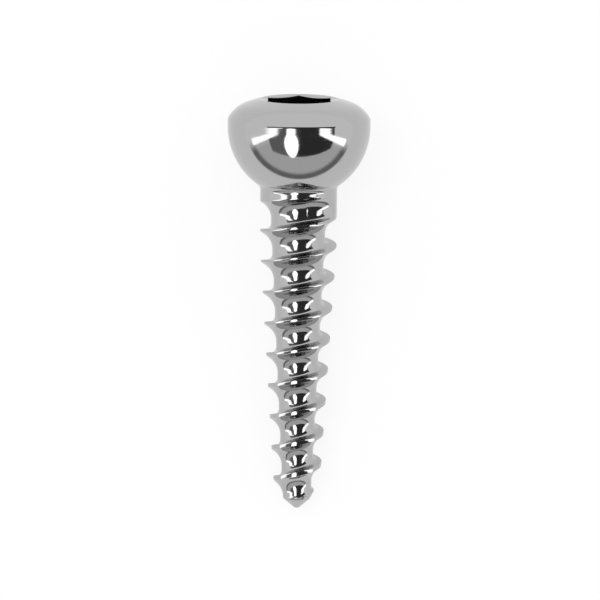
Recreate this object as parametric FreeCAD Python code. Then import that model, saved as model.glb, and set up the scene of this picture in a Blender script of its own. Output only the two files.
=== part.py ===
# Headed bone screw with a hexagon socket and a tapering one-sided (buttress) thread, turned and
# milled from one bar of steel. Sizes are in millimetres and angles in degrees.
#
# The screw is first made upright: its axis is Z, the head is up, and the rim, which is the edge
# between the dome and the round underside of the head, is at Z = 0. A depth is a distance below
# the rim. At the end the screw is laid on its side, as it comes to rest on a table.

import FreeCAD, Part
import math
import os

from FreeCAD import Vector

# Head
HEAD_DIAMETER = 8.0
CROWN_HEIGHT = 1.4
SHOULDER_RADIUS = 1.8
SHOULDER_EDGE_ANGLE = 26.7
RIM_BAND = 0.42

# Hexagon socket, with two of its flats facing the +X and -X sides
SOCKET_ACROSS_FLATS = 3.5
SOCKET_DEPTH = 2.8
SOCKET_MOUTH_DIAMETER = 4.4
SOCKET_CONE_ANGLE = 120.0

# Shank, as it is turned before the thread is cut: the neck, a taper that starts at its own depth, a
# short lead-in cone and the tip
NECK_DIAMETER = 4.3
TAPER_DEPTH = 7.2
LEAD_IN_DIAMETER = 2.64
LEAD_IN_LENGTH = 1.12
TIP_DEPTH = 22.0
TIP_DIAMETER = 1.48
TIP_CONE_ANGLE = 100.0
NOSE_RADIUS = 0.3

# Thread groove, cut by one form tool along a tapering right-hand helix. The upper flank slopes, and
# the lower one is almost square to the axis. Each rounded root is a few narrow flats.
PITCH = 1.75
CREST_WIDTH = 0.1
CORE_DIAMETER = 3.15
UPPER_FLANK_ANGLE = 35.0
UPPER_ROOT_RADIUS = 1.0
UPPER_ROOT_FLATS = 3
LOWER_FLANK_ANGLE = 3.0
LOWER_ROOT_RADIUS = 0.3
LOWER_ROOT_FLATS = 2

# Where the groove starts: the depth of its edge on the -X side, how far ahead of that side it is
# already at full depth, and the turn over which it climbs out of the neck, in degrees
GROOVE_START_DEPTH = 4.57
FULL_DEPTH_LEAD = 105.0
RUN_OUT_TURN = 60.0

# The cutting tools stand proud of the faces that they cut by this much, and the path of the form
# tool is worked out in spans of one turn
TOOL_CLEARANCE = 0.1
PATH_SPAN = 360.0
POINTS_PER_SPAN = 12


def line(start, end):
    """Straight profile edge between two (radius, height) points."""
    return Part.LineSegment(Vector(start[0], 0, start[1]), Vector(end[0], 0, end[1])).toShape()


def on_circle(centre, radius, angle):
    """(radius, height) point on a circle, at an angle in degrees above the outward direction."""
    turn = math.radians(angle)
    return centre[0] + radius * math.cos(turn), centre[1] + radius * math.sin(turn)


def arc(centre, radius, start_angle, end_angle):
    """Round profile edge about a (radius, height) centre."""
    angles = start_angle, (start_angle + end_angle) / 2, end_angle
    points = [on_circle(centre, radius, angle) for angle in angles]
    return Part.Arc(*[Vector(out, 0, up) for out, up in points]).toShape()


def revolved(edges):
    """Solid of revolution about Z from a closed run of profile edges."""
    face = Part.Face(Part.Wire(edges))
    return face.revolve(Vector(0, 0, 0), Vector(0, 0, 1), 360)


def dome_edges():
    """Flat crown arc and tighter shoulder arc, from the axis out to the rim."""
    rim = (HEAD_DIAMETER / 2, 0.0)
    shoulder = on_circle(rim, SHOULDER_RADIUS, 180 + SHOULDER_EDGE_ANGLE)
    drop = CROWN_HEIGHT - shoulder[1]
    crown_radius = (shoulder[0] ** 2 + drop ** 2 - SHOULDER_RADIUS ** 2) / (2 * (drop - SHOULDER_RADIUS))
    crown = (0.0, CROWN_HEIGHT - crown_radius)
    meet = math.degrees(math.atan2(shoulder[1] - crown[1], shoulder[0]))
    return [
        arc(crown, crown_radius, 90, meet),
        arc(shoulder, SHOULDER_RADIUS, meet, SHOULDER_EDGE_ANGLE),
    ]


def underside_edges():
    """Rim band, ball-shaped underside and neck."""
    head_radius = HEAD_DIAMETER / 2
    neck_radius = NECK_DIAMETER / 2
    ball = (0.0, -RIM_BAND)
    neck_angle = math.degrees(math.acos(neck_radius / head_radius))
    neck_top = on_circle(ball, head_radius, -neck_angle)
    return [
        line((head_radius, 0), (head_radius, -RIM_BAND)),
        arc(ball, head_radius, 0, -neck_angle),
        line(neck_top, (neck_radius, -TAPER_DEPTH)),
    ]


def tip_cone_depth():
    """Depth at which the tip cone starts."""
    slope = math.radians(TIP_CONE_ANGLE / 2)
    sharp_length = TIP_DIAMETER / 2 / math.tan(slope)
    lost_to_nose = NOSE_RADIUS * (1 / math.sin(slope) - 1)
    return TIP_DEPTH - sharp_length + lost_to_nose


def lead_in_depth():
    """Depth at which the taper ends and the lead-in cone starts."""
    return tip_cone_depth() - LEAD_IN_LENGTH


def tip_edges():
    """Tapering shank, lead-in cone, tip cone and rounded nose, down to the axis."""
    slope = TIP_CONE_ANGLE / 2
    nose = (0.0, NOSE_RADIUS - TIP_DEPTH)
    corners = [
        (NECK_DIAMETER / 2, -TAPER_DEPTH),
        (LEAD_IN_DIAMETER / 2, -lead_in_depth()),
        (TIP_DIAMETER / 2, -tip_cone_depth()),
        on_circle(nose, NOSE_RADIUS, -slope),
    ]
    sides = [line(start, end) for start, end in zip(corners, corners[1:])]
    return [*sides, arc(nose, NOSE_RADIUS, -slope, -90)]


def blank():
    """The turned blank: head, neck, tapering shank and tip, without socket and thread."""
    axis_line = line((0, -TIP_DEPTH), (0, CROWN_HEIGHT))
    return revolved([*dome_edges(), *underside_edges(), *tip_edges(), axis_line])


def mouth_height():
    """Height at which the socket's countersink meets the crown."""
    crown = dome_edges()[0].Curve
    return crown.Center.z + math.sqrt(crown.Radius ** 2 - (SOCKET_MOUTH_DIAMETER / 2) ** 2)


def cone(point_height, top_height):
    """Upright cone of the socket's cone angle, from its point up to a flat top."""
    radius = (top_height - point_height) * math.tan(math.radians(SOCKET_CONE_ANGLE / 2))
    point, middle, edge = (0, point_height), (0, top_height), (radius, top_height)
    return revolved([line(point, edge), line(edge, middle), line(middle, point)])


def socket_tool():
    """Hexagon prism with a drilled cone at its bottom and a countersink at its mouth."""
    corner_radius = SOCKET_ACROSS_FLATS / math.sqrt(3)
    floor = CROWN_HEIGHT - SOCKET_DEPTH
    top = CROWN_HEIGHT + TOOL_CLEARANCE
    corners = [on_circle((0, 0), corner_radius, 30 + 60 * side) for side in range(7)]
    outline = Part.makePolygon([Vector(x, y, floor) for x, y in corners])
    prism = Part.Face(outline).extrude(Vector(0, 0, top - floor))
    drop_per_radius = 1 / math.tan(math.radians(SOCKET_CONE_ANGLE / 2))
    drill_point = cone(floor - SOCKET_ACROSS_FLATS / 2 * drop_per_radius, floor)
    countersink = cone(mouth_height() - SOCKET_MOUTH_DIAMETER / 2 * drop_per_radius, top)
    return prism.fuse([drill_point, countersink])


def shank_radius(depth):
    """Radius of the turned shank between the start of its taper and its lead-in cone."""
    share = (depth - TAPER_DEPTH) / (lead_in_depth() - TAPER_DEPTH)
    return (NECK_DIAMETER + (LEAD_IN_DIAMETER - NECK_DIAMETER) * share) / 2


def core_radius(depth):
    """Radius of the thread's core, which tapers evenly from the start of the groove to the tip."""
    share = (depth - GROOVE_START_DEPTH) / (tip_cone_depth() - GROOVE_START_DEPTH)
    return (CORE_DIAMETER + (TIP_DIAMETER - CORE_DIAMETER) * share) / 2


def deepest_cut():
    """Thread depth where the groove is deepest, at one end or the other of the shank's taper."""
    return max(shank_radius(depth) - core_radius(depth) for depth in (TAPER_DEPTH, lead_in_depth()))


def groove_path():
    """The helix that the groove's bottom edge follows, from above the neck to past the tip.

    A turn is counted in degrees towards the tip, from where the groove's edge crosses the -X side at
    its start depth. The path is one smooth curve, cut into spans.
    """
    climb_rate = (NECK_DIAMETER / 2 - core_radius(GROOVE_START_DEPTH)) / RUN_OUT_TURN
    first_turn = -FULL_DEPTH_LEAD - RUN_OUT_TURN - TOOL_CLEARANCE / climb_rate
    last_turn = 360 * (TIP_DEPTH - GROOVE_START_DEPTH) / PITCH
    spans = math.ceil((last_turn - first_turn) / PATH_SPAN)
    steps = spans * POINTS_PER_SPAN
    turns = [first_turn + (last_turn - first_turn) * step / steps for step in range(steps + 1)]
    points = []
    for turn in turns:
        depth = GROOVE_START_DEPTH + PITCH * turn / 360
        radius = core_radius(depth) + climb_rate * max(0.0, -FULL_DEPTH_LEAD - turn)
        angle = math.radians(180 - turn)
        points.append(Vector(radius * math.cos(angle), radius * math.sin(angle), -depth))
    path = Part.BSplineCurve()
    path.interpolate(Points=points, Parameters=turns)
    ends = turns[::POINTS_PER_SPAN]
    return Part.Wire([path.toShape(start, end) for start, end in zip(ends, ends[1:])]), points[0]


def groove_outline():
    """Corners of the groove's section, as (depth below its upper edge, height above the core)."""
    cut = deepest_cut()
    top = cut + TOOL_CLEARANCE
    width = PITCH - CREST_WIDTH

    lower = math.radians(LOWER_FLANK_ANGLE)
    lower_radius = min(LOWER_ROOT_RADIUS, cut / (1 - math.sin(lower)))
    lower_flank = (cut - lower_radius * (1 - math.sin(lower))) * math.tan(lower)
    lower_centre = (width - lower_flank - lower_radius * math.cos(lower), lower_radius)

    # The upper root is as round as asked, or as round as its flank and the lower root leave room for
    upper = math.radians(UPPER_FLANK_ANGLE)
    upper_reach = math.cos(upper) - (1 - math.sin(upper)) * math.tan(upper)
    room = (lower_centre[0] - cut * math.tan(upper)) / upper_reach
    upper_radius = min(UPPER_ROOT_RADIUS, room, cut / (1 - math.sin(upper)))
    upper_centre = (cut * math.tan(upper) + upper_radius * upper_reach, upper_radius)

    upper_root = root(upper_centre, upper_radius, 180 + UPPER_FLANK_ANGLE, 270, UPPER_ROOT_FLATS)
    lower_root = root(lower_centre, lower_radius, 270, 360 - LOWER_FLANK_ANGLE, LOWER_ROOT_FLATS)
    return [(0, top), (0, cut), *upper_root, *lower_root, (width, cut), (width, top), (0, top)]


def root(centre, radius, start_angle, end_angle, flats):
    """Corners of a rounded root, as an even run of flats."""
    turn = end_angle - start_angle
    return [on_circle(centre, radius, start_angle + turn * flat / flats) for flat in range(flats + 1)]


def groove_tool():
    """The groove's section carried along its path, upright all the way."""
    path, start = groove_path()
    outward = Vector(start.x, start.y, 0).normalize()
    corners = [start + outward * out - Vector(0, 0, down) for down, out in groove_outline()]
    sweep = Part.BRepOffsetAPI.MakePipeShell(path)
    sweep.setBiNormalMode(Vector(0, 0, 1))
    sweep.add(Part.makePolygon(corners), False, False)
    sweep.build()
    sweep.makeSolid()
    return sweep.shape()


def screw():
    """The whole screw, upright."""
    return blank().cut([socket_tool(), groove_tool()])


def rest_tilt():
    """Angle between the axis and the table, in degrees, when the screw lies on its head and thread.

    The head touches the table with its ball-shaped underside, and the thread with the crest on its
    lower side, which is the +Y side here, that is first to reach the table.
    """
    ball_radius = HEAD_DIAMETER / 2
    depth = GROOVE_START_DEPTH + PITCH / 4
    tilts = []
    while depth < lead_in_depth():
        if depth > TAPER_DEPTH:
            along = depth - RIM_BAND
            out = shank_radius(depth)
            tilts.append(math.asin(ball_radius / math.hypot(along, out)) - math.atan2(out, along))
        depth += PITCH
    return math.degrees(min(tilts))


def laid_down(shape):
    """The screw on its side: head towards +Y, box centred on the Z axis and standing on Z = 0."""
    lying = shape.copy()
    lying.rotate(Vector(0, 0, 0), Vector(1, 0, 0), rest_tilt() - 90)
    box = lying.optimalBoundingBox(False, False)
    lying.translate(Vector(-box.Center.x, -box.Center.y, -box.ZMin))
    return lying


os.makedirs("parts", exist_ok=True)
laid_down(screw()).exportStep("parts/screw.step")
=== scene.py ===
import math

import bmesh
import bpy
from mathutils import Matrix, Vector


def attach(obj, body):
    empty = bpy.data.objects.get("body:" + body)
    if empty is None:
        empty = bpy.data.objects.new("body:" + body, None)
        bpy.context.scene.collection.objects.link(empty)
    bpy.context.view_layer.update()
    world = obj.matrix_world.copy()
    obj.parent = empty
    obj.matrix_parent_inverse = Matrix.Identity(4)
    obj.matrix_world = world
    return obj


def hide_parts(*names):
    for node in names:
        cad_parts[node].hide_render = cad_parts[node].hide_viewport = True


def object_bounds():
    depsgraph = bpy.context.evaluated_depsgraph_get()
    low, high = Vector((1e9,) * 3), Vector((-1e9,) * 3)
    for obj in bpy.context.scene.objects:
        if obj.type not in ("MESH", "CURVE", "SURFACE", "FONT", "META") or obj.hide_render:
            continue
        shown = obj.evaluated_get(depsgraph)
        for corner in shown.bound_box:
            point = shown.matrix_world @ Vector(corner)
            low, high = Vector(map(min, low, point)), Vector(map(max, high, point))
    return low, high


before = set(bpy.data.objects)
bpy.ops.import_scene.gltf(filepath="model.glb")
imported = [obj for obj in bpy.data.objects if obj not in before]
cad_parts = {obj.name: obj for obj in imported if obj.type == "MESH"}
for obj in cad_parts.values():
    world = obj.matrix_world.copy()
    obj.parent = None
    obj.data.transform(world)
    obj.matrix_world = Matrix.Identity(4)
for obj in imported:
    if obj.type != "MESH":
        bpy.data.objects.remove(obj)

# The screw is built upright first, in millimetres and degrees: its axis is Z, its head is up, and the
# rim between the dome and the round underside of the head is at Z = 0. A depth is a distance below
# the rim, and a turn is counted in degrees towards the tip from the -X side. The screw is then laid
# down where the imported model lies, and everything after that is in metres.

cad_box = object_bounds()

# Head
HEAD_DIAMETER = 8.0
CROWN_HEIGHT = 1.4
SHOULDER_RADIUS = 1.8
SHOULDER_EDGE_ANGLE = 26.7
RIM_BAND = 0.42
RIM_ROUND = 0.05
NECK_FILLET = 0.4

# Hexagon socket, with two of its flats facing the +X and -X sides, a shallow countersink at its mouth
# and a drilled cone at its bottom
SOCKET_SIDE_COUNT = 6
SOCKET_ACROSS_FLATS = 3.5
SOCKET_DEPTH = 2.8
SOCKET_MOUTH_DIAMETER = 4.4
MOUTH_CONE_ANGLE = 150.0
DRILLED_CONE_ANGLE = 120.0
MOUTH_ROUND = 0.015

# Shank
NECK_DIAMETER = 4.3
TAPER_DEPTH = 7.2
LEAD_IN_DIAMETER = 2.64
LEAD_IN_LENGTH = 1.12
TIP_DEPTH = 22.0
TIP_DIAMETER = 1.48
TIP_CONE_ANGLE = 100.0
NOSE_RADIUS = 0.3
TIP_ROUND = 0.04

# Thread. Its crests are rounded as said, or by the given share of a groove that is just starting.
PITCH = 1.75
CREST_WIDTH = 0.1
CREST_ROUND = 0.03
CREST_ROUND_SHARE = 0.125
CORE_DIAMETER = 3.08
CORE_TIP_DIAMETER = 1.44
UPPER_FLANK_ANGLE = 35.0
UPPER_ROOT_RADIUS = 1.0
LOWER_FLANK_ANGLE = 3.0
LOWER_ROOT_RADIUS = 0.3
GROOVE_START_DEPTH = 4.57
FULL_DEPTH_LEAD_ANGLE = 105.0
RUN_OUT_ANGLE = 60.0

# Fineness of the mesh: its columns round the axis, and its rows, which crowd together where the
# groove's outline turns by the weight given to a turn
COLUMNS = 144
GROOVE_ROWS = 26
CREST_ROWS = 3
NECK_ROWS = 8
LEAD_IN_ROWS = 6
CROWN_ROWS = 24
SHOULDER_ROWS = 20
BALL_ROWS = 64
FILLET_ROWS = 8
NOSE_ROWS = 10
ROOT_STEPS = 40
FINE_STEP = 0.01
TURN_WEIGHT = 0.35
WELD = 0.0004
SHARP_ANGLE = 40.0

# Places of the rows along straight faces, as shares of the way down. The drilled cone's are shares of
# its radius.
BAND_SHARES = (0.16, 0.5, 0.9)
COUNTERSINK_SHARES = (0, 0.4, 0.8)
WALL_SHARES = (0.012, 0.3, 0.5, 0.7, 0.9, 1)
DRILLED_CONE_SHARES = (1, 0.75, 0.5, 0.25, 0)
TIP_CONE_SHARES = (0.25, 0.5, 0.75)

HEAD_RADIUS = HEAD_DIAMETER / 2
NECK_RADIUS = NECK_DIAMETER / 2
STEP = 360.0 / COLUMNS
MM = 0.001


def on_circle(centre, radius, angle):
    """(radius, height) point on a circle, at an angle in degrees above the outward direction."""
    turn = math.radians(angle)
    return centre[0] + radius * math.cos(turn), centre[1] + radius * math.sin(turn)


def arc_points(centre, radius, start_angle, end_angle, steps):
    """Even run of points along an arc, with both its ends."""
    turn = end_angle - start_angle
    return [on_circle(centre, radius, start_angle + turn * k / steps) for k in range(steps + 1)]


def between(start, end, share):
    """Point at a share of the way from one tuple to another."""
    return tuple(a + (b - a) * share for a, b in zip(start, end))


def rounded(before, corner, after, reach):
    """Three points that round a corner, starting and ending at a reach from it."""
    first = between(corner, before, min(reach / math.dist(corner, before), 0.5))
    last = between(corner, after, min(reach / math.dist(corner, after), 0.5))
    return [first, between(between(first, last, 0.5), corner, 0.5), last]


# Where the turned shape changes
tip_slope = math.radians(TIP_CONE_ANGLE / 2)
tip_cone_depth = TIP_DEPTH - TIP_DIAMETER / 2 / math.tan(tip_slope)
tip_cone_depth += NOSE_RADIUS * (1 / math.sin(tip_slope) - 1)
lead_in_depth = tip_cone_depth - LEAD_IN_LENGTH
neck_top_depth = RIM_BAND + math.sqrt((HEAD_RADIUS + NECK_FILLET) ** 2 - (NECK_RADIUS + NECK_FILLET) ** 2)


def blank_radius(depth):
    """Radius of the turned shank, between the neck and the tip cone."""
    if depth <= TAPER_DEPTH:
        return NECK_RADIUS
    if depth <= lead_in_depth:
        share = (depth - TAPER_DEPTH) / (lead_in_depth - TAPER_DEPTH)
        return (NECK_DIAMETER + (LEAD_IN_DIAMETER - NECK_DIAMETER) * share) / 2
    share = (depth - lead_in_depth) / LEAD_IN_LENGTH
    return (LEAD_IN_DIAMETER + (TIP_DIAMETER - LEAD_IN_DIAMETER) * share) / 2


def core_radius(depth):
    """Radius of the thread's core."""
    share = (depth - GROOVE_START_DEPTH) / (tip_cone_depth - GROOVE_START_DEPTH)
    return (CORE_DIAMETER + (CORE_TIP_DIAMETER - CORE_DIAMETER) * share) / 2


def groove_outline():
    """Fine outline of the groove, as (depth below its upper edge, height above the core, row measure).

    The row measure grows with length and with how far the outline has turned, so that rows placed
    evenly along it crowd together in the tight root.
    """
    cut = max(blank_radius(depth) - core_radius(depth) for depth in (TAPER_DEPTH, lead_in_depth))
    top = cut + CREST_WIDTH
    width = PITCH - CREST_WIDTH
    lower = math.radians(LOWER_FLANK_ANGLE)
    lower_flank = (cut - LOWER_ROOT_RADIUS * (1 - math.sin(lower))) * math.tan(lower)
    lower_centre = (width - lower_flank - LOWER_ROOT_RADIUS * math.cos(lower), LOWER_ROOT_RADIUS)
    upper = math.radians(UPPER_FLANK_ANGLE)
    upper_reach = math.cos(upper) - (1 - math.sin(upper)) * math.tan(upper)
    room = (lower_centre[0] - cut * math.tan(upper)) / upper_reach
    upper_radius = min(UPPER_ROOT_RADIUS, room)
    upper_centre = (cut * math.tan(upper) + upper_radius * upper_reach, upper_radius)
    corners = [
        (-CREST_WIDTH * math.tan(upper), top),
        *arc_points(upper_centre, upper_radius, 180 + UPPER_FLANK_ANGLE, 270, ROOT_STEPS),
        *arc_points(lower_centre, LOWER_ROOT_RADIUS, 270, 360 - LOWER_FLANK_ANGLE, ROOT_STEPS),
        (width + CREST_WIDTH * math.tan(lower), top),
    ]
    fine = []
    for start, end in zip(corners, corners[1:]):
        pieces = max(1, math.ceil(math.dist(start, end) / FINE_STEP))
        fine += [between(start, end, k / pieces) for k in range(pieces)]
    fine.append(corners[-1])
    measured = []
    along = 0.0
    heading = None
    for k, point in enumerate(fine):
        if k:
            run = (point[0] - fine[k - 1][0], point[1] - fine[k - 1][1])
            new_heading = math.atan2(run[1], run[0])
            turned = abs(new_heading - heading) if heading is not None else 0.0
            along += math.hypot(*run) + TURN_WEIGHT * turned
            heading = new_heading
        measured.append((*point, along))
    return measured


outline = groove_outline()
first_turn = -FULL_DEPTH_LEAD_ANGLE - RUN_OUT_ANGLE


def edge_depth(turn):
    """Depth of the groove's upper edge line at a turn."""
    return GROOVE_START_DEPTH + PITCH * turn / 360


def floor_radius(turn):
    """Radius of the groove's floor, which climbs out of the neck at the start."""
    radius = core_radius(edge_depth(turn))
    climb = max(0.0, -FULL_DEPTH_LEAD_ANGLE - turn) / RUN_OUT_ANGLE
    return radius + (NECK_RADIUS - CORE_DIAMETER / 2) * climb


def room_above(turn, point):
    """How far the blank stands above a point of the groove's outline at a turn."""
    return blank_radius(edge_depth(turn) + point[0]) - floor_radius(turn) - point[1]


def crossings(turn):
    """The two ends of the groove's outline that lie on the blank at a turn, or None past its end."""
    rooms = [room_above(turn, point) for point in outline]
    inside = [k for k, room in enumerate(rooms) if room > 0]
    if not inside:
        return None
    ends = []
    for inner, outer in ((inside[0], inside[0] - 1), (inside[-1], inside[-1] + 1)):
        share = rooms[inner] / (rooms[inner] - rooms[outer])
        ends.append(between(outline[inner], outline[outer], share))
    return ends


def outline_at(measure):
    """Point of the outline at a row measure."""
    for start, end in zip(outline, outline[1:]):
        if measure <= end[2]:
            return between(start, end, (measure - start[2]) / (end[2] - start[2]))
    return outline[-1]


def groove_section(turn):
    """(radius, depth) points across the groove at a turn, with both its edges rounded."""
    depth = edge_depth(turn)
    floor = floor_radius(turn)
    upper, lower = crossings(turn)
    length = lower[2] - upper[2]
    reach = min(CREST_ROUND, length * CREST_ROUND_SHARE)
    rows = []
    for row in range(GROOVE_ROWS + 1):
        measure = upper[2] + reach + (length - 2 * reach) * row / GROOVE_ROWS
        point = outline_at(measure)
        rows.append((floor + point[1], depth + point[0]))
    corner = depth + upper[0]
    outside = (blank_radius(corner - reach), corner - reach)
    start = [outside, *rounded(outside, (blank_radius(corner), corner), rows[0], reach)[1:2]]
    corner = depth + lower[0]
    outside = (blank_radius(corner + reach), corner + reach)
    end = [*rounded(rows[-1], (blank_radius(corner), corner), outside, reach)[1:2], outside]
    return start + rows + end


def place(radius, depth, turn):
    """Point of the upright screw, from a radius, a depth and a turn."""
    angle = math.radians(180 - turn)
    return radius * math.cos(angle), radius * math.sin(angle), -depth


def on_blank(start, end, steps):
    """(radius, depth) points along the blank between two of its depths, with both ends."""
    depths = [start + (end - start) * k / steps for k in range(steps + 1)]
    return [(blank_radius(depth), depth) for depth in depths]


def thread_grids():
    """Grids of (radius, depth, turn) points for the groove, its crests, the neck and the tip."""
    count = 0
    while not crossings(first_turn + STEP * count):
        count += 1
    first = count
    while crossings(first_turn + STEP * count):
        count += 1
    turns = [first_turn + STEP * k for k in range(first - 1, count + 1)]
    sections = [groove_section(turn) for turn in turns[1:-1]]
    size = len(sections[0])
    start_depth, end_depth = (sections[k][size // 2][1] for k in (0, -1))
    start_point, end_point = ((blank_radius(depth), depth) for depth in (start_depth, end_depth))
    sections = [[start_point] * size, *sections, [end_point] * size]
    groove = [[(*point, turn) for point in section] for section, turn in zip(sections, turns)]

    crest = []
    for k in range(len(turns) - COLUMNS):
        above, below = sections[k][-1][1], sections[k + COLUMNS][0][1]
        crest.append([(*point, turns[k]) for point in on_blank(above, below, CREST_ROWS)])

    neck = []
    for k in range(COLUMNS + 1):
        end = sections[k][0][1]
        split = min(start_depth, end)
        upper_part = on_blank(neck_top_depth, split, NECK_ROWS)
        lower_part = on_blank(split, end, CREST_ROWS)
        neck.append([(*point, turns[k]) for point in upper_part + lower_part[1:]])

    tip = []
    for k in range(-1 - COLUMNS, 0):
        start = sections[k][-1][1]
        split = max(start, end_depth)
        upper_part = on_blank(start, split, CREST_ROWS)
        lower_part = on_blank(split, tip_cone_depth - TIP_ROUND, LEAD_IN_ROWS)
        tip.append([(*point, turns[k]) for point in upper_part + lower_part[1:]])
    return [groove, crest, neck, tip]


def revolved_grid(profile):
    """Grid of (radius, depth, turn) points for a (radius, depth) profile turned all the way round."""
    return [[(*point, first_turn + STEP * k) for point in profile] for k in range(COLUMNS + 1)]


def tip_profile():
    """(radius, depth) profile from the lead-in cone to the very tip."""
    slope = TIP_CONE_ANGLE / 2
    corner = (TIP_DIAMETER / 2, tip_cone_depth)
    before = (blank_radius(tip_cone_depth - TIP_ROUND), tip_cone_depth - TIP_ROUND)
    nose_centre = (0.0, NOSE_RADIUS - TIP_DEPTH)
    nose = [(r, -h) for r, h in arc_points(nose_centre, NOSE_RADIUS, -slope, -90, NOSE_ROWS)]
    nose[-1] = (0.0, TIP_DEPTH)
    cone = [between(corner, nose[0], share) for share in TIP_CONE_SHARES]
    return [before, *rounded(before, corner, nose[0], TIP_ROUND)[1:], *cone, *nose]


def head_profile():
    """(radius, depth) profile from the socket's mouth over the dome and round to the neck."""
    rim = (HEAD_RADIUS, 0.0)
    shoulder = on_circle(rim, SHOULDER_RADIUS, 180 + SHOULDER_EDGE_ANGLE)
    drop = CROWN_HEIGHT - shoulder[1]
    crown_radius = (shoulder[0] ** 2 + drop ** 2 - SHOULDER_RADIUS ** 2) / (2 * (drop - SHOULDER_RADIUS))
    crown = (0.0, CROWN_HEIGHT - crown_radius)
    meet = math.degrees(math.atan2(shoulder[1] - crown[1], shoulder[0]))
    mouth = math.degrees(math.acos(SOCKET_MOUTH_DIAMETER / 2 / crown_radius))
    dome = arc_points(crown, crown_radius, mouth, meet, CROWN_ROWS)[1:]
    dome += arc_points(shoulder, SHOULDER_RADIUS, meet, SHOULDER_EDGE_ANGLE, SHOULDER_ROWS)[1:]
    ball = (0.0, -RIM_BAND)
    fillet_centre = (NECK_RADIUS + NECK_FILLET, -neck_top_depth)
    ball_end = math.degrees(math.atan2(fillet_centre[1] - ball[1], fillet_centre[0]))
    band = [between(rim, (HEAD_RADIUS, -RIM_BAND), share) for share in BAND_SHARES]
    under = arc_points(ball, HEAD_RADIUS, 0, ball_end, BALL_ROWS)
    fillet = arc_points(fillet_centre, NECK_FILLET, 180 + ball_end, 180, FILLET_ROWS)[1:]
    edge = rounded(dome[-2], rim, band[0], RIM_ROUND)
    lip = on_circle(crown, crown_radius, mouth)
    points = [lip, *dome[:-1], *edge, *band, *under, *fillet]
    return [(radius, -height) for radius, height in points]


def socket_grid():
    """Grid of (radius, depth, turn) points for the socket, from its mouth down to its middle."""
    mouth_radius, mouth_depth = head_profile()[0]
    mouth_fall = 1 / math.tan(math.radians(MOUTH_CONE_ANGLE / 2))
    drilled_fall = 1 / math.tan(math.radians(DRILLED_CONE_ANGLE / 2))
    flat = SOCKET_ACROSS_FLATS / 2
    bottom = SOCKET_DEPTH - CROWN_HEIGHT
    side_turn = 360 / SOCKET_SIDE_COUNT
    drilled = [(flat * share, bottom + flat * (1 - share) * drilled_fall) for share in DRILLED_CONE_SHARES]
    grid = []
    for k in range(COLUMNS + 1):
        turn = first_turn + STEP * k
        off_flat = (180 - turn + side_turn / 2) % side_turn - side_turn / 2
        wall = flat / math.cos(math.radians(off_flat))
        lip = (mouth_radius, mouth_depth)
        edge = (wall, mouth_depth + (mouth_radius - wall) * mouth_fall)
        countersink = [between(lip, edge, share) for share in COUNTERSINK_SHARES]
        walls = [between(edge, (wall, bottom), share) for share in WALL_SHARES]
        edge_round = rounded(countersink[-1], edge, walls[0], MOUTH_ROUND)
        profile = [*countersink, *edge_round, *walls, *drilled]
        grid.append([(*point, turn) for point in profile])
    return grid


def rest_tilt():
    """Angle between the axis and the table, in radians, of the screw lying on its head and thread."""
    depth = GROOVE_START_DEPTH + PITCH / 4
    tilts = []
    while depth < lead_in_depth:
        if depth > TAPER_DEPTH:
            along, out = depth - RIM_BAND, blank_radius(depth)
            tilts.append(math.asin(HEAD_RADIUS / math.hypot(along, out)) - math.atan2(out, along))
        depth += PITCH
    return min(tilts)


def screw_mesh():
    """The whole screw as one closed mesh, upright and in metres."""
    shape = bmesh.new()
    grids = [socket_grid(), revolved_grid(head_profile()), *thread_grids(), revolved_grid(tip_profile())]
    for grid in grids:
        columns = [[shape.verts.new(Vector(place(*point)) * MM) for point in column] for column in grid]
        for left, right in zip(columns, columns[1:]):
            for row in range(len(left) - 1):
                shape.faces.new((left[row], left[row + 1], right[row + 1], right[row]))
    bmesh.ops.remove_doubles(shape, verts=shape.verts, dist=WELD * MM)
    bmesh.ops.recalc_face_normals(shape, faces=shape.faces)
    for face in shape.faces:
        face.smooth = True
    return shape


# The screw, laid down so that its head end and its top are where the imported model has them
lay_down = Matrix.Rotation(rest_tilt() - math.pi / 2, 4, "X")
mesh = screw_mesh()
bmesh.ops.transform(mesh, matrix=lay_down, verts=mesh.verts)
highest = [max(vertex.co[axis] for vertex in mesh.verts) for axis in range(3)]
shift = Vector((0, cad_box[1].y - highest[1], cad_box[1].z - highest[2]))
bmesh.ops.translate(mesh, vec=shift, verts=mesh.verts)
data = bpy.data.meshes.new("screw_polished")
mesh.to_mesh(data)
mesh.free()
data.set_sharp_from_angle(angle=math.radians(SHARP_ANGLE))
screw = bpy.data.objects.new("screw_polished", data)
bpy.context.scene.collection.objects.link(screw)
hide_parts("screw")
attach(screw, "root")
upright_to_world = Matrix.Translation(shift) @ lay_down


# Steel: its colour, how its roughness goes with the haze, and the turning lines' bump. The noises'
# scales are in cells per millimetre.
STEEL_COLOUR = 0.48
ROUGHNESS = (0.06, 0.11)
HAZE_RANGE = (0.35, 0.7)
HAZE_SCALE = 1.3
HAZE_DETAIL = 4.0
LINE_SCALE = 22.0
LINE_DETAIL = 3.0
LINE_STRENGTH = 0.06
LINE_HEIGHT = 0.01


def new_material(name):
    """Node material with its Principled shader."""
    material = bpy.data.materials.new(name)
    material.use_nodes = True
    return material, material.node_tree.nodes["Principled BSDF"]


def math_node(tree, operation, *values):
    """Math node with numbers or sockets as its inputs."""
    node = tree.nodes.new("ShaderNodeMath")
    node.operation = operation
    for socket, value in zip(node.inputs, values):
        if isinstance(value, (int, float)):
            socket.default_value = value
        else:
            tree.links.new(value, socket)
    return node.outputs[0]


def squared(tree, value):
    """Value times itself."""
    return math_node(tree, "MULTIPLY", value, value)


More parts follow.
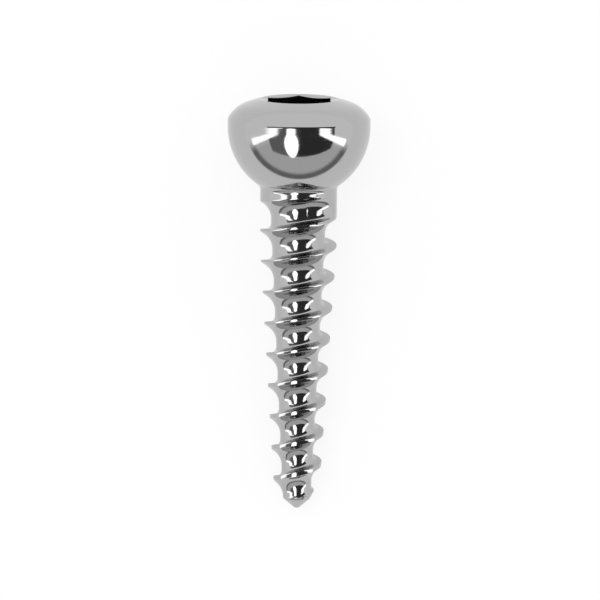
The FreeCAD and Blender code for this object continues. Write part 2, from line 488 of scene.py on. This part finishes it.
def noise(tree, vector, scale, detail):
    """Noise from 0 to 1 along a vector."""
    node = tree.nodes.new("ShaderNodeTexNoise")
    node.inputs["Scale"].default_value = scale
    node.inputs["Detail"].default_value = detail
    tree.links.new(vector, node.inputs["Vector"])
    return node.outputs["Fac"]


def smooth_step(tree, value, low, high, at_low=0.0, at_high=1.0):
    """Smooth change from one number to another as a value goes from low to high."""
    node = tree.nodes.new("ShaderNodeMapRange")
    node.interpolation_type = "SMOOTHSTEP"
    tree.links.new(value, node.inputs["Value"])
    node.inputs["From Min"].default_value = low
    node.inputs["From Max"].default_value = high
    node.inputs["To Min"].default_value = at_low
    node.inputs["To Max"].default_value = at_high
    return node.outputs["Result"]


def polished_steel():
    """Polished steel with faint turning lines around the axis and a little haze."""
    material, shader = new_material("polished_steel")
    tree = material.node_tree
    links = tree.links
    shader.inputs["Metallic"].default_value = 1.0
    shader.inputs["Base Color"].default_value = (*(STEEL_COLOUR,) * 3, 1)

    # Places on the upright screw, in millimetres, and the same as distance from the axis and height
    coordinates = tree.nodes.new("ShaderNodeTexCoord")
    mapping = tree.nodes.new("ShaderNodeMapping")
    back = upright_to_world.inverted()
    mapping.inputs["Location"].default_value = back.to_translation() / MM
    mapping.inputs["Rotation"].default_value = back.to_euler()
    mapping.inputs["Scale"].default_value = (1 / MM,) * 3
    links.new(coordinates.outputs["Object"], mapping.inputs["Vector"])
    split = tree.nodes.new("ShaderNodeSeparateXYZ")
    links.new(mapping.outputs["Vector"], split.inputs["Vector"])
    squares = (squared(tree, split.outputs["X"]), squared(tree, split.outputs["Y"]))
    rings = tree.nodes.new("ShaderNodeCombineXYZ")
    links.new(math_node(tree, "SQRT", math_node(tree, "ADD", *squares)), rings.inputs["X"])
    links.new(split.outputs["Z"], rings.inputs["Z"])

    haze = noise(tree, mapping.outputs["Vector"], HAZE_SCALE, HAZE_DETAIL)
    links.new(smooth_step(tree, haze, *HAZE_RANGE, *ROUGHNESS), shader.inputs["Roughness"])
    bump = tree.nodes.new("ShaderNodeBump")
    bump.inputs["Strength"].default_value = LINE_STRENGTH
    bump.inputs["Distance"].default_value = LINE_HEIGHT * MM
    links.new(noise(tree, rings.outputs["Vector"], LINE_SCALE, LINE_DETAIL), bump.inputs["Height"])
    links.new(bump.outputs["Normal"], shader.inputs["Normal"])
    return material


data.materials.append(polished_steel())


# Floor, in metres, and how much of it is plain white to the camera, and of that in the steel
FLOOR_RADIUS = 0.05
FLOOR_EDGE_COUNT = 128
FLOOR_COLOUR = 0.9
FLOOR_ROUGHNESS = 0.9
FLOOR_GLOW = 1.1
FLOOR_GLOW_SHARE = 0.75
MIRRORED_SHARE = 0.7

# Soft lamp over the screw, in metres
LAMP_PLACE = (-0.15, 0.1, 0.5)
LAMP_SIZE = 0.3
LAMP_RADIANCE = 1.6

# Plain light of the surroundings, and how bright the steel sees their parts
SKY_LIGHT = 0.7
WALL_LIGHT = 0.97
TIP_END_LIGHT = 0.64
TIP_END_FOOT_LIGHT = 0.2
CEILING_LIGHT = (0.18, 0.04)
STRIPE_LIGHT = 2.4
KEY_LIGHT = 2.8

# Where those parts stand, in degrees. A polar angle is counted from straight up, and a side angle
# from the tip's direction, with the left below 0.
TIP_END_TOP = (48, 54)
TIP_END_FOOT = (80, 88)
TIP_END_BOTTOM = (94, 98)
TIP_END_SIDES = (-66, 66)
TIP_END_SOFT = 8
LEFT_STRIPE_SIDES = (-75, -67)
LEFT_STRIPE_POLAR = (28, 87)
RIGHT_STRIPE_SIDES = (66, 75)
RIGHT_STRIPE_POLAR = (36, 87)
STRIPE_SOFT = 0.7
KEY_AZIMUTH = -13.5
KEY_TIPWARD = 32.0
KEY_REACH = (12.5, 20.5)
KEY_EDGE = (0.94, 1.06)

# The ceiling's panel, as shares of its height over the screw, and the least rise that is overhead
CEILING_ACROSS = (-1.3, 1.8)
CEILING_FADE = (-0.7, 0.1)
CEILING_ALONG = (-0.72, 1.25)
CEILING_SOFT = 0.03
HORIZON = 0.01

# The picture's size, and places in it counted from its top left corner
PIXELS = 600
PIXELS_PER_MM = 17.85
RIM_PIXEL = (299.1, 119.4)
TIP_PIXEL_X = 296.5
VIEW_ELEVATION = 8.0
CAMERA_DISTANCE = 0.8


def mixed(tree, factor, start, end):
    """Value that goes from one number or socket to another with a factor."""
    node = tree.nodes.new("ShaderNodeMix")
    for socket, value in zip((node.inputs[0], node.inputs[2], node.inputs[3]), (factor, start, end)):
        if isinstance(value, (int, float)):
            socket.default_value = value
        else:
            tree.links.new(value, socket)
    return node.outputs[0]


def window(tree, value, low, high, soft):
    """Mask that is 1 between two limits, with edges as soft as asked."""
    rise = smooth_step(tree, value, low - soft, low + soft)
    fall = smooth_step(tree, value, high - soft, high + soft, 1.0, 0.0)
    return math_node(tree, "MULTIPLY", rise, fall)


def pale_floor():
    """Pale floor, almost white to the camera and in the steel, that keeps the screw's soft shadow."""
    material, shader = new_material("pale_floor")
    tree = material.node_tree
    shader.inputs["Base Color"].default_value = (*(FLOOR_COLOUR,) * 3, 1)
    shader.inputs["Roughness"].default_value = FLOOR_ROUGHNESS
    shader.inputs["Specular IOR Level"].default_value = 0.0
    glow = tree.nodes.new("ShaderNodeEmission")
    glow.inputs["Strength"].default_value = FLOOR_GLOW
    mix = tree.nodes.new("ShaderNodeMixShader")
    path = tree.nodes.new("ShaderNodeLightPath")
    mirrored = math_node(tree, "MULTIPLY", path.outputs["Is Glossy Ray"], MIRRORED_SHARE)
    seen = math_node(tree, "ADD", path.outputs["Is Camera Ray"], mirrored)
    share = math_node(tree, "MULTIPLY", seen, FLOOR_GLOW_SHARE)
    tree.links.new(share, mix.inputs["Fac"])
    tree.links.new(shader.outputs["BSDF"], mix.inputs[1])
    tree.links.new(glow.outputs["Emission"], mix.inputs[2])
    tree.links.new(mix.outputs["Shader"], tree.nodes["Material Output"].inputs["Surface"])
    return material


bpy.ops.mesh.primitive_circle_add(vertices=FLOOR_EDGE_COUNT, radius=FLOOR_RADIUS, fill_type="NGON")
floor = bpy.context.object
floor.name = "floor"
floor.data.materials.append(pale_floor())


def studio_world():
    """Soft surroundings: white to the camera, and a studio for the steel to mirror.

    The studio has pale walls, a dark ceiling panel, a bright stripe on the left and one on the right,
    an oval key panel over the screw, and a dim end on the tip's side.
    """
    world = bpy.data.worlds.new("studio")
    world.use_nodes = True
    bpy.context.scene.world = world
    tree = world.node_tree
    coordinates = tree.nodes.new("ShaderNodeTexCoord")
    split = tree.nodes.new("ShaderNodeSeparateXYZ")
    tree.links.new(coordinates.outputs["Generated"], split.inputs["Vector"])
    east, north, up = split.outputs["X"], split.outputs["Y"], split.outputs["Z"]
    south = math_node(tree, "MULTIPLY", north, -1.0)

    def degrees(radians):
        return math_node(tree, "MULTIPLY", radians, 180 / math.pi)

    polar = degrees(math_node(tree, "ARCCOSINE", up))
    side = degrees(math_node(tree, "ARCTAN2", east, south))
    azimuth = degrees(math_node(tree, "ARCTAN2", east, up))
    tipward = degrees(math_node(tree, "ARCSINE", south))
    overhead = math_node(tree, "GREATER_THAN", up, HORIZON)

    tip_end = smooth_step(tree, polar, *TIP_END_FOOT, TIP_END_LIGHT, TIP_END_FOOT_LIGHT)
    tip_end = mixed(tree, smooth_step(tree, polar, *TIP_END_BOTTOM), tip_end, WALL_LIGHT)
    tip_sides = window(tree, side, *TIP_END_SIDES, TIP_END_SOFT)
    tip_area = math_node(tree, "MULTIPLY", tip_sides, smooth_step(tree, polar, *TIP_END_TOP))
    light = mixed(tree, tip_area, WALL_LIGHT, tip_end)

    across = math_node(tree, "DIVIDE", east, up)
    along = math_node(tree, "DIVIDE", south, up)
    ceiling_across = window(tree, across, *CEILING_ACROSS, CEILING_SOFT)
    ceiling_along = window(tree, along, *CEILING_ALONG, CEILING_SOFT)
    ceiling = math_node(tree, "MULTIPLY", ceiling_across, ceiling_along)
    ceiling = math_node(tree, "MULTIPLY", ceiling, overhead)
    light = mixed(tree, ceiling, light, smooth_step(tree, across, *CEILING_FADE, *CEILING_LIGHT))

    stripes = []
    for sides, heights in ((LEFT_STRIPE_SIDES, LEFT_STRIPE_POLAR), (RIGHT_STRIPE_SIDES, RIGHT_STRIPE_POLAR)):
        stripe_sides = window(tree, side, *sides, STRIPE_SOFT)
        stripe_heights = window(tree, polar, *heights, STRIPE_SOFT)
        stripes.append(math_node(tree, "MULTIPLY", stripe_sides, stripe_heights))
    light = mixed(tree, math_node(tree, "ADD", *stripes), light, STRIPE_LIGHT)

    key_parts = []
    for angle, centre, reach in zip((azimuth, tipward), (KEY_AZIMUTH, KEY_TIPWARD), KEY_REACH):
        offset = math_node(tree, "SUBTRACT", angle, centre)
        key_parts.append(squared(tree, math_node(tree, "DIVIDE", offset, reach)))
    key = smooth_step(tree, math_node(tree, "ADD", *key_parts), *KEY_EDGE, 1.0, 0.0)
    light = mixed(tree, math_node(tree, "MULTIPLY", key, overhead), light, KEY_LIGHT)

    path = tree.nodes.new("ShaderNodeLightPath")
    glossy = mixed(tree, path.outputs["Is Glossy Ray"], SKY_LIGHT, light)
    strength = mixed(tree, path.outputs["Is Camera Ray"], glossy, 1.0)
    tree.links.new(strength, tree.nodes["Background"].inputs["Strength"])
    tree.nodes["Background"].inputs["Color"].default_value = (1, 1, 1, 1)


studio_world()

# The soft lamp, which the steel doesn't mirror
lamp = bpy.data.lights.new("soft_lamp", "AREA")
lamp.shape = "DISK"
lamp.size = LAMP_SIZE
lamp.energy = LAMP_RADIANCE * math.pi * math.pi * LAMP_SIZE ** 2 / 4
soft_lamp = bpy.data.objects.new("soft_lamp", lamp)
soft_lamp.location = LAMP_PLACE
soft_lamp.visible_glossy = False
soft_lamp.visible_camera = False
bpy.context.scene.collection.objects.link(soft_lamp)

# The camera looks down on the lying screw, from the photograph's side and height
axis_lean = math.atan2(RIM_PIXEL[0] - TIP_PIXEL_X, TIP_DEPTH * PIXELS_PER_MM)
half = PIXELS / 2
aim_depth = (half - RIM_PIXEL[1]) / (PIXELS_PER_MM * math.cos(math.radians(VIEW_ELEVATION)))
axis_pixel = RIM_PIXEL[0] + (TIP_PIXEL_X - RIM_PIXEL[0]) * aim_depth / TIP_DEPTH
aim = upright_to_world @ (Vector(((half - axis_pixel) / PIXELS_PER_MM, 0, -aim_depth)) * MM)
view = math.radians(VIEW_ELEVATION)
towards_camera = lay_down.to_3x3() @ Vector((0, -math.cos(view), math.sin(view)))
camera_data = bpy.data.cameras.new("camera")
camera_data.lens = camera_data.sensor_width * CAMERA_DISTANCE / (PIXELS / PIXELS_PER_MM * MM)
camera = bpy.data.objects.new("camera", camera_data)
camera.location = aim + towards_camera * CAMERA_DISTANCE
facing = towards_camera.to_track_quat("Z", "Y").to_matrix().to_4x4()
camera.matrix_world = Matrix.Translation(camera.location) @ facing @ Matrix.Rotation(axis_lean, 4, "Z")
bpy.context.scene.collection.objects.link(camera)
bpy.context.scene.camera = camera
bpy.context.scene.view_settings.view_transform = "Standard"
